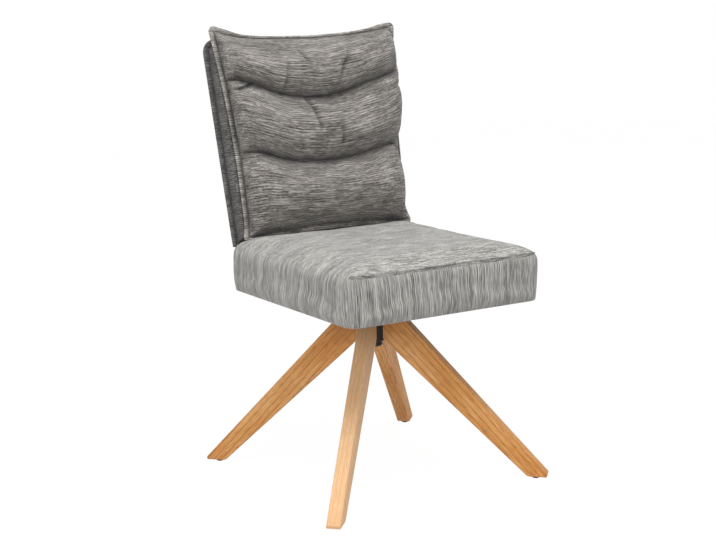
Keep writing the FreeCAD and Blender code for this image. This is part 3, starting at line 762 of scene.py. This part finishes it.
def addStitches(name, line, material, closed):
    # one stitch, a round-ended thread, copied along the line and joined
    bpy.ops.object.select_all(action="DESELECT")
    bpy.ops.mesh.primitive_cylinder_add(vertices=6, radius=stitch["radius"], depth=stitch["length"],
                                        end_fill_type="NGON")
    first = bpy.context.object
    bpy.ops.object.mode_set(mode="EDIT")
    bpy.ops.mesh.select_all(action="DESELECT")
    bpy.ops.object.mode_set(mode="OBJECT")
    for face in first.data.polygons:
        face.select = abs(face.normal.z) > 0.9
    bpy.ops.object.mode_set(mode="EDIT")
    bpy.ops.mesh.inset(thickness=stitch["radius"] * 0.5, depth=stitch["radius"] * 0.6)
    bpy.ops.object.mode_set(mode="OBJECT")
    bpy.ops.object.shade_smooth()
    base = first.data
    copies = []
    carried = 0.0
    path = line + [line[0]] if closed else line
    for start, end in zip(path, path[1:]):
        run = end[0] - start[0]
        while carried < run.length:
            share = carried / run.length
            out = start[1].lerp(end[1], share)
            forward = start[2].lerp(end[2], share)
            centre = start[0] + run * share + out * stitch["inset"]
            centre += forward * (flange["thickness"] / 2 * stitch["sink"] + stitch["radius"] * 0.5)
            copy = bpy.data.objects.new(name, base.copy())
            bpy.context.collection.objects.link(copy)
            copy.matrix_world = Matrix.Translation(centre) @ run.to_track_quat("Z", "Y").to_matrix().to_4x4()
            copies.append(copy)
            carried += stitch["pitch"]
        carried -= run.length
    bpy.data.objects.remove(first)
    bpy.ops.object.select_all(action="DESELECT")
    for copy in copies:
        copy.select_set(True)
    bpy.context.view_layer.objects.active = copies[0]
    bpy.ops.object.join()
    joined = bpy.context.object
    bpy.ops.object.transform_apply(location=True, rotation=True, scale=True)
    joined.name = name
    joined.data.materials.clear()
    joined.data.materials.append(material)
    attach(joined, "seat")
    print(name + ":", len(copies), "stitches")
    return joined


# rear slab of the backrest

rearPad = {
    "cell": 0.0065,
    "height": 0.426,
    "halfBottom": 0.207,
    "halfTop": 0.222,
    # depths of the rings of cells, from the front to the rear face
    "depths": (-0.028, -0.023, -0.017, -0.009, -0.002, 0.0),
    "seamDepth": -0.0018,
    "bulge": 0.007,
    "cornerRadius": 0.018,
    # the foot stands on the cushion's rear edge from this depth forward, this much higher, and slopes
    "seatEdge": -0.004,
    "seatLift": 0.009,
    "seatSlope": 0.42,
    "growth": 0.02,
    "cap": 0.005,
    "fill": 0.7,
}

padCells = (round(2 * rearPad["halfTop"] / rearPad["cell"]), 5, round(rearPad["height"] / rearPad["cell"]))


def padHalf(height):
    return lerp(rearPad["halfBottom"], rearPad["halfTop"], height / rearPad["height"])


def padOutline(x, height):
    # rounds the top corners
    radius = rearPad["cornerRadius"]
    limit = padHalf(height) - radius
    top = rearPad["height"] - radius
    if abs(x) > limit and height > top:
        off = Vector((x - clamp(x, limit), height - top))
        off = off.normalized() * max(abs(off.x), abs(off.y))
        return clamp(x, limit) + off.x, top + off.y
    return x, height


def padPlace(i, j, k):
    nx, ny, nz = padCells
    a, c = 2 * i / nx - 1, k / nz
    height = c * rearPad["height"]
    x, height = padOutline(a * padHalf(height), height)
    depth = rearPad["depths"][j]
    edge = min(padHalf(height) - abs(x), rearPad["height"] - height)
    if j == ny:
        depth += rearPad["bulge"] * (1 - (1 - min(1, max(0, edge) / 0.05)) ** 2)
    if j == 0 and edge < 0.001:
        x *= 1 - 0.003 / rearPad["halfTop"]
    ledge = rearPad["seatEdge"]
    foot = rearPad["seatLift"] + rearPad["seatSlope"] * (ledge - depth) if depth < ledge else 0.0
    height = max(height, foot) if k else foot
    if i in (0, nx) and 0 < j < ny:
        ripple = 0.0014 * noise.noise(Vector((a * 3, j * 0.7, height * 34)))
        x += math.copysign(0.0015 * math.sin(math.pi * j / ny), a) + ripple
    return tuple(onBack(x, depth, height))


def padThreads(side, i, j, k):
    cell = rearPad["cell"]
    if side in ("front", "rear"):
        return (k * cell, i * cell)
    if side in ("left", "right"):
        return (k * cell, 0.6 + j * cell)
    return (1 + j * cell, i * cell)


def padLine():
    # the rear seam: up one side, over the top and down the other
    spots = []
    top, radius = rearPad["height"], rearPad["cornerRadius"]
    steps = 64
    lean = math.atan2(rearPad["halfTop"] - rearPad["halfBottom"], top)
    for step in range(steps + 1):
        height = (top - radius) * step / steps
        spots.append((padHalf(height), height, Vector((math.cos(lean), -math.sin(lean)))))
    for step in range(1, 8):
        angle = math.radians(90 * step / 8)
        out = Vector((math.cos(angle), math.sin(angle)))
        spots.append((padHalf(top) - radius + radius * out.x, top - radius + radius * out.y, out))
    across = round((padHalf(top) - radius) / 0.007)
    for step in range(across + 1):
        x = (padHalf(top) - radius) * (1 - step / across)
        spots.append((x, top, Vector((0, 1))))
    mirrored = [(-x, height, Vector((-out.x, out.y))) for x, height, out in reversed(spots[:-1])]
    line = []
    for x, height, out in spots + mirrored:
        line.append((onBack(x, rearPad["seamDepth"], height), backWay(out), backWay((0, 0), 1)))
    return line


def makeRearPad(material, thread, seatCushion):
    piece, keys = latticePiece("rearPad", padCells, padPlace, padThreads, material)
    nx, ny, nz = padCells
    hold(piece, keys, lambda i, j, k: j == 0 or k == 0 or (j >= ny - 1 and (i in (0, nx) or k == nz)))
    inflate(piece, rearPad["growth"], rearPad["cap"])
    smoothAndSew(piece)
    line = padLine()
    addFlange(piece, line, flange["padWidth"], False, material)
    keepOff(piece, seatCushion, 0.0006)
    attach(piece, "seat")
    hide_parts("back_pad")
    addStitches("rearStitching", line, thread, False)
    print("rear pad:", len(piece.data.polygons), "faces")


# front pillow: three rolls between two sewn channels

pillow = {
    "columns": 84,
    "rows": (30, 28, 26),
    "plane": -0.0318,  # depth of the seam, in front of the rear flange
    "waist": 0.1905,
    "waistHeight": 0.1,
    "footReach": 0.082,  # below the waist
    "growthUp": 0.231,
    "footFlare": (0.0085, 0.004),  # how much the lower ears stand out, and how far the foot sits to one side
    "bottom": (0.027, 0.009),
    # the channels: place across from -1 to 1, and height
    "low": [(-1.0, 0.194), (-0.8, 0.192), (-0.65, 0.184), (-0.5, 0.175), (-0.3, 0.169), (-0.1, 0.1665),
            (0.1, 0.1665), (0.3, 0.169), (0.5, 0.175), (0.7, 0.183), (0.85, 0.188), (1.0, 0.190)],
    "high": [(-1.0, 0.346), (-0.86, 0.345), (-0.72, 0.336), (-0.5, 0.318), (-0.3, 0.308), (-0.12, 0.304),
             (0.1, 0.305), (0.35, 0.313), (0.6, 0.327), (0.85, 0.342), (1.0, 0.351)],
    "top": (0.431, 0.019),
    "topCurve": (4.4, 1.8),  # how late the top edge rises to its ears, right and left of the sitter
    "topFlangeShare": 0.55,  # the flange lies back along the top, so less of it shows
    "channelDepth": 0.011,
    # for the lowest roll, the middle one and the top one
    "rollDepths": (0.054, 0.053, 0.047),
    "droop": (0.012, 0.046, 0.046),  # how far it hangs over the seam below
    "crestSkew": (1.0, 1.2, 1.15),  # above 1 its crest lies higher
    "sideFullness": (7.0, 8.0, 5.0),  # how late it thins towards its sides
    "sideBulge": (0.012, 0.028, 0.016),  # how far it stands out past the side seam
    "sideSkew": (1.0, 1.25, 0.6),
    "loosePlace": (0.345, 0.032, 0.013),  # one side's loose cover: its height, spread and reach
    "growth": 0.04,
    "cap": 0.008,
    "wall": 0.003,
    "channelEase": 4,  # rows from a channel over which the filling pushes less
    "seam": [(0.0, -0.0016), (0.003, 0.0)],
    "unevenness": 0.0022,
    "fill": 0.65,
    # pull creases down the front: places across and up the back, depth and half width
    "creases": [
        ([(-0.044, 0.406), (-0.029, 0.375), (-0.019, 0.361)], 0.0075, 0.0042),
        ([(-0.080, 0.366), (-0.086, 0.312)], 0.0075, 0.0042),
        ([(0.078, 0.399), (0.073, 0.375), (0.057, 0.365), (0.042, 0.322)], 0.008, 0.0045),
        ([(-0.031, 0.300), (-0.023, 0.265), (-0.018, 0.232)], 0.0105, 0.0042),
        ([(0.029, 0.241), (0.036, 0.220), (0.030, 0.180)], 0.0075, 0.0042),
        ([(-0.207, 0.324), (-0.188, 0.323), (-0.168, 0.329), (-0.150, 0.338)], 0.012, 0.004),
        ([(-0.200, 0.182), (-0.182, 0.178), (-0.166, 0.182)], 0.006, 0.004),
    ],
}

pillowCells = (pillow["columns"], 1, sum(pillow["rows"]))


def pillowHalf(height):
    off = height - pillow["waistHeight"]
    if off > 0:
        return pillow["waist"] + pillow["growthUp"] * off * off
    return pillow["waist"] + pillow["footFlare"][0] * (off / pillow["footReach"]) ** 4


def footShift(height):
    below = (pillow["waistHeight"] - height) / pillow["footReach"]
    return pillow["footFlare"][1] * min(1.0, max(0.0, below)) ** 2


def pillowAcross(side, height):
    # from the middle out to the seam
    place, spread, reach = pillow["loosePlace"]
    loose = reach * math.exp(-((height - place) / spread) ** 2) * max(0.0, side) ** 6
    return side * pillowHalf(height) + footShift(height) + loose


def pillowLevels(side):
    # heights of the bottom seam, the channels and the top seam, at a place from -1 to 1 across
    bottom, bottomSag = pillow["bottom"]
    top, topSag = pillow["top"]
    curve = pillow["topCurve"][0 if side < 0 else 1]
    return [bottom - bottomSag * side * side, profile(pillow["low"], side), profile(pillow["high"], side),
            top + topSag * abs(side) ** curve]


def pillowRow(k):
    # the roll that a row lies in, and how far up it; rows lie closer together near the channels
    roll = 0
    while roll < 2 and k > pillow["rows"][roll]:
        k -= pillow["rows"][roll]
        roll += 1
    share = k / pillow["rows"][roll]
    return roll, share / 2 + (1 - math.cos(math.pi * share)) / 4


def pillowPlace(i, j, k):
    a = 2 * i / pillow["columns"] - 1
    side = math.sin(math.pi / 2 * a)
    levels = pillowLevels(side)
    roll, share = pillowRow(k)
    height = lerp(levels[roll], levels[roll + 1], share)
    if j == 1:
        return tuple(onBack(pillowAcross(side, height), pillow["plane"] + pillow["wall"], height))
    full = math.sqrt(max(0.0, 1 - abs(side) ** pillow["sideFullness"][roll]))
    depths = [0, pillow["channelDepth"], pillow["channelDepth"], 0]
    base = lerp(depths[roll], depths[roll + 1], share)
    swell = arch(share ** pillow["crestSkew"][roll]) ** lerp(0.75, 0.5, side ** 4)
    bulge = arch(share ** pillow["sideSkew"][roll]) ** 0.28
    depth = (base + (pillow["rollDepths"][roll] - (depths[roll] + depths[roll + 1]) / 2) * swell) * full
    height -= pillow["droop"][roll] * swell * (1 - share) ** 3 * (1 - side * side)
    x = pillowAcross(side, height) + side * pillow["sideBulge"][roll] * bulge * full
    lump = pillow["unevenness"] * swell * full * noise.noise(Vector((x * 14, 0, height * 14)))
    return tuple(onBack(x, pillow["plane"] - depth - lump, height))


def pillowThreads(side, i, j, k):
    offset = 0.0 if side == "front" else 0.8
    return (offset + k * 0.0056, i * 0.0057)


def pillowLine():
    # the seam round the pillow, with the flange's way out fanned round its four ears
    shares = [step / 60 for step in range(60)]
    sides = [math.sin(math.pi / 2 * (2 * share - 1)) for share in shares]
    levels = pillowLevels(1)
    places = [(side, pillowLevels(side)[0]) for side in sides]
    places += [(1, lerp(levels[0], levels[3], share)) for share in shares]
    places += [(-side, pillowLevels(-side)[3]) for side in sides]
    places += [(-1, lerp(levels[3], levels[0], share)) for share in shares]
    spots = [(pillowAcross(side, height), height) for side, height in places]
    line = []
    count = len(spots)
    for number, (x, height) in enumerate(spots):
        before, after = spots[number - 1], spots[(number + 1) % count]
        first = Vector((height - before[1], before[0] - x)).normalized()
        second = Vector((after[1] - height, x - after[0])).normalized()
        turn = first.angle(second)
        fan = 7 if turn > 0.5 else 1
        for step in range(fan):
            out = first.lerp(second, (step + 0.5) / fan).normalized()
            if out.y > 0.8 and fan == 1:
                out *= lerp(pillow["topFlangeShare"], 1.0, min(1.0, abs(x) / pillow["waist"]) ** 8)
            spot = onBack(x, pillow["plane"] + pillow["wall"] / 2, height)
            line.append((spot, backWay(out), backWay((0, 0), 1)))
    return line


def pressCreases(piece, creases):
    # draws in narrow valleys along short lines, fading at their ends
    for vertex in piece.data.vertices:
        local = upBack(vertex.co)
        if local.y > pillow["plane"] - 0.004:
            continue
        flat = Vector((local.x, local.z))
        push = 0.0
        for line, depth, width in creases:
            spots = [Vector(spot) for spot in line]
            total = sum((end - start).length for start, end in zip(spots, spots[1:]))
            travelled = 0.0
            nearest, along = 1.0, 0.0
            for start, end in zip(spots, spots[1:]):
                run = end - start
                share = max(0.0, min(1.0, (flat - start).dot(run) / run.length_squared))
                away = (flat - start - run * share).length
                if away < nearest:
                    nearest, along = away, (travelled + share * run.length) / total
                travelled += run.length
            if nearest < width * 4:
                fade = math.sin(math.pi * min(1.0, max(0.0, along * 0.86 + 0.07))) ** 0.6
                ratio = nearest / width
                push += depth * fade * (math.exp(-ratio * ratio) - 0.3 * math.exp(-(ratio - 1.8) ** 2))
        if push:
            local.y += push
            vertex.co = onBack(*local)


def makeFrontPillow(material, thread, seatCushion):
    piece, keys = latticePiece("frontPillow", pillowCells, pillowPlace, pillowThreads, material)
    nx, ny, nz = pillowCells
    channels = (pillow["rows"][0], pillow["rows"][0] + pillow["rows"][1])

    def ease(i, j, k):
        return min(1.0, min(abs(k - channel) for channel in channels) / pillow["channelEase"])

    def seamHeight(i, j, k):
        away = min(abs(k - channel) for channel in channels) * 0.005
        return profile(pillow["seam"], away) if j < 0.01 else 0.0

    hold(piece, keys, lambda i, j, k: j == 1 or i in (0, nx) or k in (0, nz) or k in channels)
    inflate(piece, pillow["growth"], pillow["cap"], keys, ease)
    smoothAndSew(piece, seamHeight)
    pressCreases(piece, pillow["creases"])
    line = pillowLine()
    addFlange(piece, line, flange["pillowWidth"], True, material)
    keepOff(piece, seatCushion, 0.0006)
    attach(piece, "seat")
    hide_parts("back_cushion")
    stitches = addStitches("pillowStitching", line, thread, True)
    keepOff(stitches, seatCushion, 0.0004)
    print("front pillow:", len(piece.data.polygons), "faces")


# studio: a pale floor and soft lamps; the background is white to the camera, to gloss and to glass

studio = {
    "ambient": 0.40,
    "ambientColour": "#f6f7fa",
    "floorSize": 14.0,
    "floorColour": "#cfcfcf",
    "floorGlow": 0.88,  # share of the floor that shows as plain white, the rest keeps the shadow
    "floorWhite": 1.09,
    "lamps": {
        "overheadLamp": {"place": (-0.2, -0.9, 3.0), "size": 2.2, "watts": 68},
        "frontRightLamp": {"place": (2.3, -2.4, 1.5), "size": 2.0, "watts": 13},
        "leftLamp": {"place": (-2.7, -1.8, 1.1), "size": 2.0, "watts": 37},
    },
}


def seenDirectly(tree):
    # 1 for camera, glossy and transmission rays
    path = addNode(tree, "LightPath")
    seen = path.outputs["Is Camera Ray"]
    for ray in ("Is Glossy Ray", "Is Transmission Ray"):
        seen = addNode(tree, "Math", {0: seen, 1: path.outputs[ray]}, operation="MAXIMUM")
    return seen


def lightStudio():
    scene = bpy.context.scene
    scene.view_settings.view_transform = "Standard"
    world = bpy.data.worlds.new("studioWorld")
    world.use_nodes = True
    scene.world = world
    tree = world.node_tree
    ambient = tree.nodes["Background"]
    setInputs(tree, ambient, {"Color": hexColour(studio["ambientColour"]), "Strength": studio["ambient"]})
    white = addNode(tree, "Background", {"Color": (1, 1, 1, 1), "Strength": 1.0})
    mixed = addNode(tree, "MixShader", {0: seenDirectly(tree), 1: ambient, 2: white})
    setInputs(tree, tree.nodes["World Output"], {"Surface": mixed})

    bpy.ops.object.select_all(action="DESELECT")
    bpy.ops.mesh.primitive_plane_add(size=studio["floorSize"])
    floor = bpy.context.object
    floor.name = "studioFloor"
    material, tree = startMaterial("paleFloor", Roughness=0.9)
    shader = tree.nodes["Principled BSDF"]
    setInputs(tree, shader, {"Base Color": hexColour(studio["floorColour"])})
    glow = addNode(tree, "Emission", {"Color": (1, 1, 1, 1), "Strength": studio["floorWhite"]})
    share = addNode(tree, "Math", {0: seenDirectly(tree), 1: studio["floorGlow"]}, operation="MULTIPLY")
    mixed = addNode(tree, "MixShader", {0: share, 1: shader, 2: glow})
    setInputs(tree, tree.nodes["Material Output"], {"Surface": mixed})
    floor.data.materials.append(material)

    for name, lamp in studio["lamps"].items():
        place = Vector(lamp["place"])
        aim = (place - Vector((0, 0, 0.45))).to_track_quat("Z", "Y")
        bpy.ops.object.light_add(type="AREA", location=place, rotation=aim.to_euler())
        light = bpy.context.object
        light.name = name
        light.data.size = lamp["size"]
        light.data.energy = lamp["watts"]
    print("studio lit:", len(studio["lamps"]), "lamps")


addCamera()
finishNodes()
print("nodes finished:", len(finishes), "materials")
seatChenille = makeChenille("wovenChenilleSeat", chenille["seat"], chenille["seatLayShading"])
shadedRearChenille = makeChenille("wovenChenilleRearShaded", chenille["rear"], chenille["rearLayShading"])
pillowChenille = makeChenille("wovenChenillePillow", chenille["pillow"], chenille["pillowLayShading"])
sewingThread = makeThread("polyesterThread")
seatCushion = makeSeatCushion(seatChenille)
makeRearPad(shadedRearChenille, sewingThread, seatCushion)
makeFrontPillow(pillowChenille, sewingThread, seatCushion)
lightStudio()
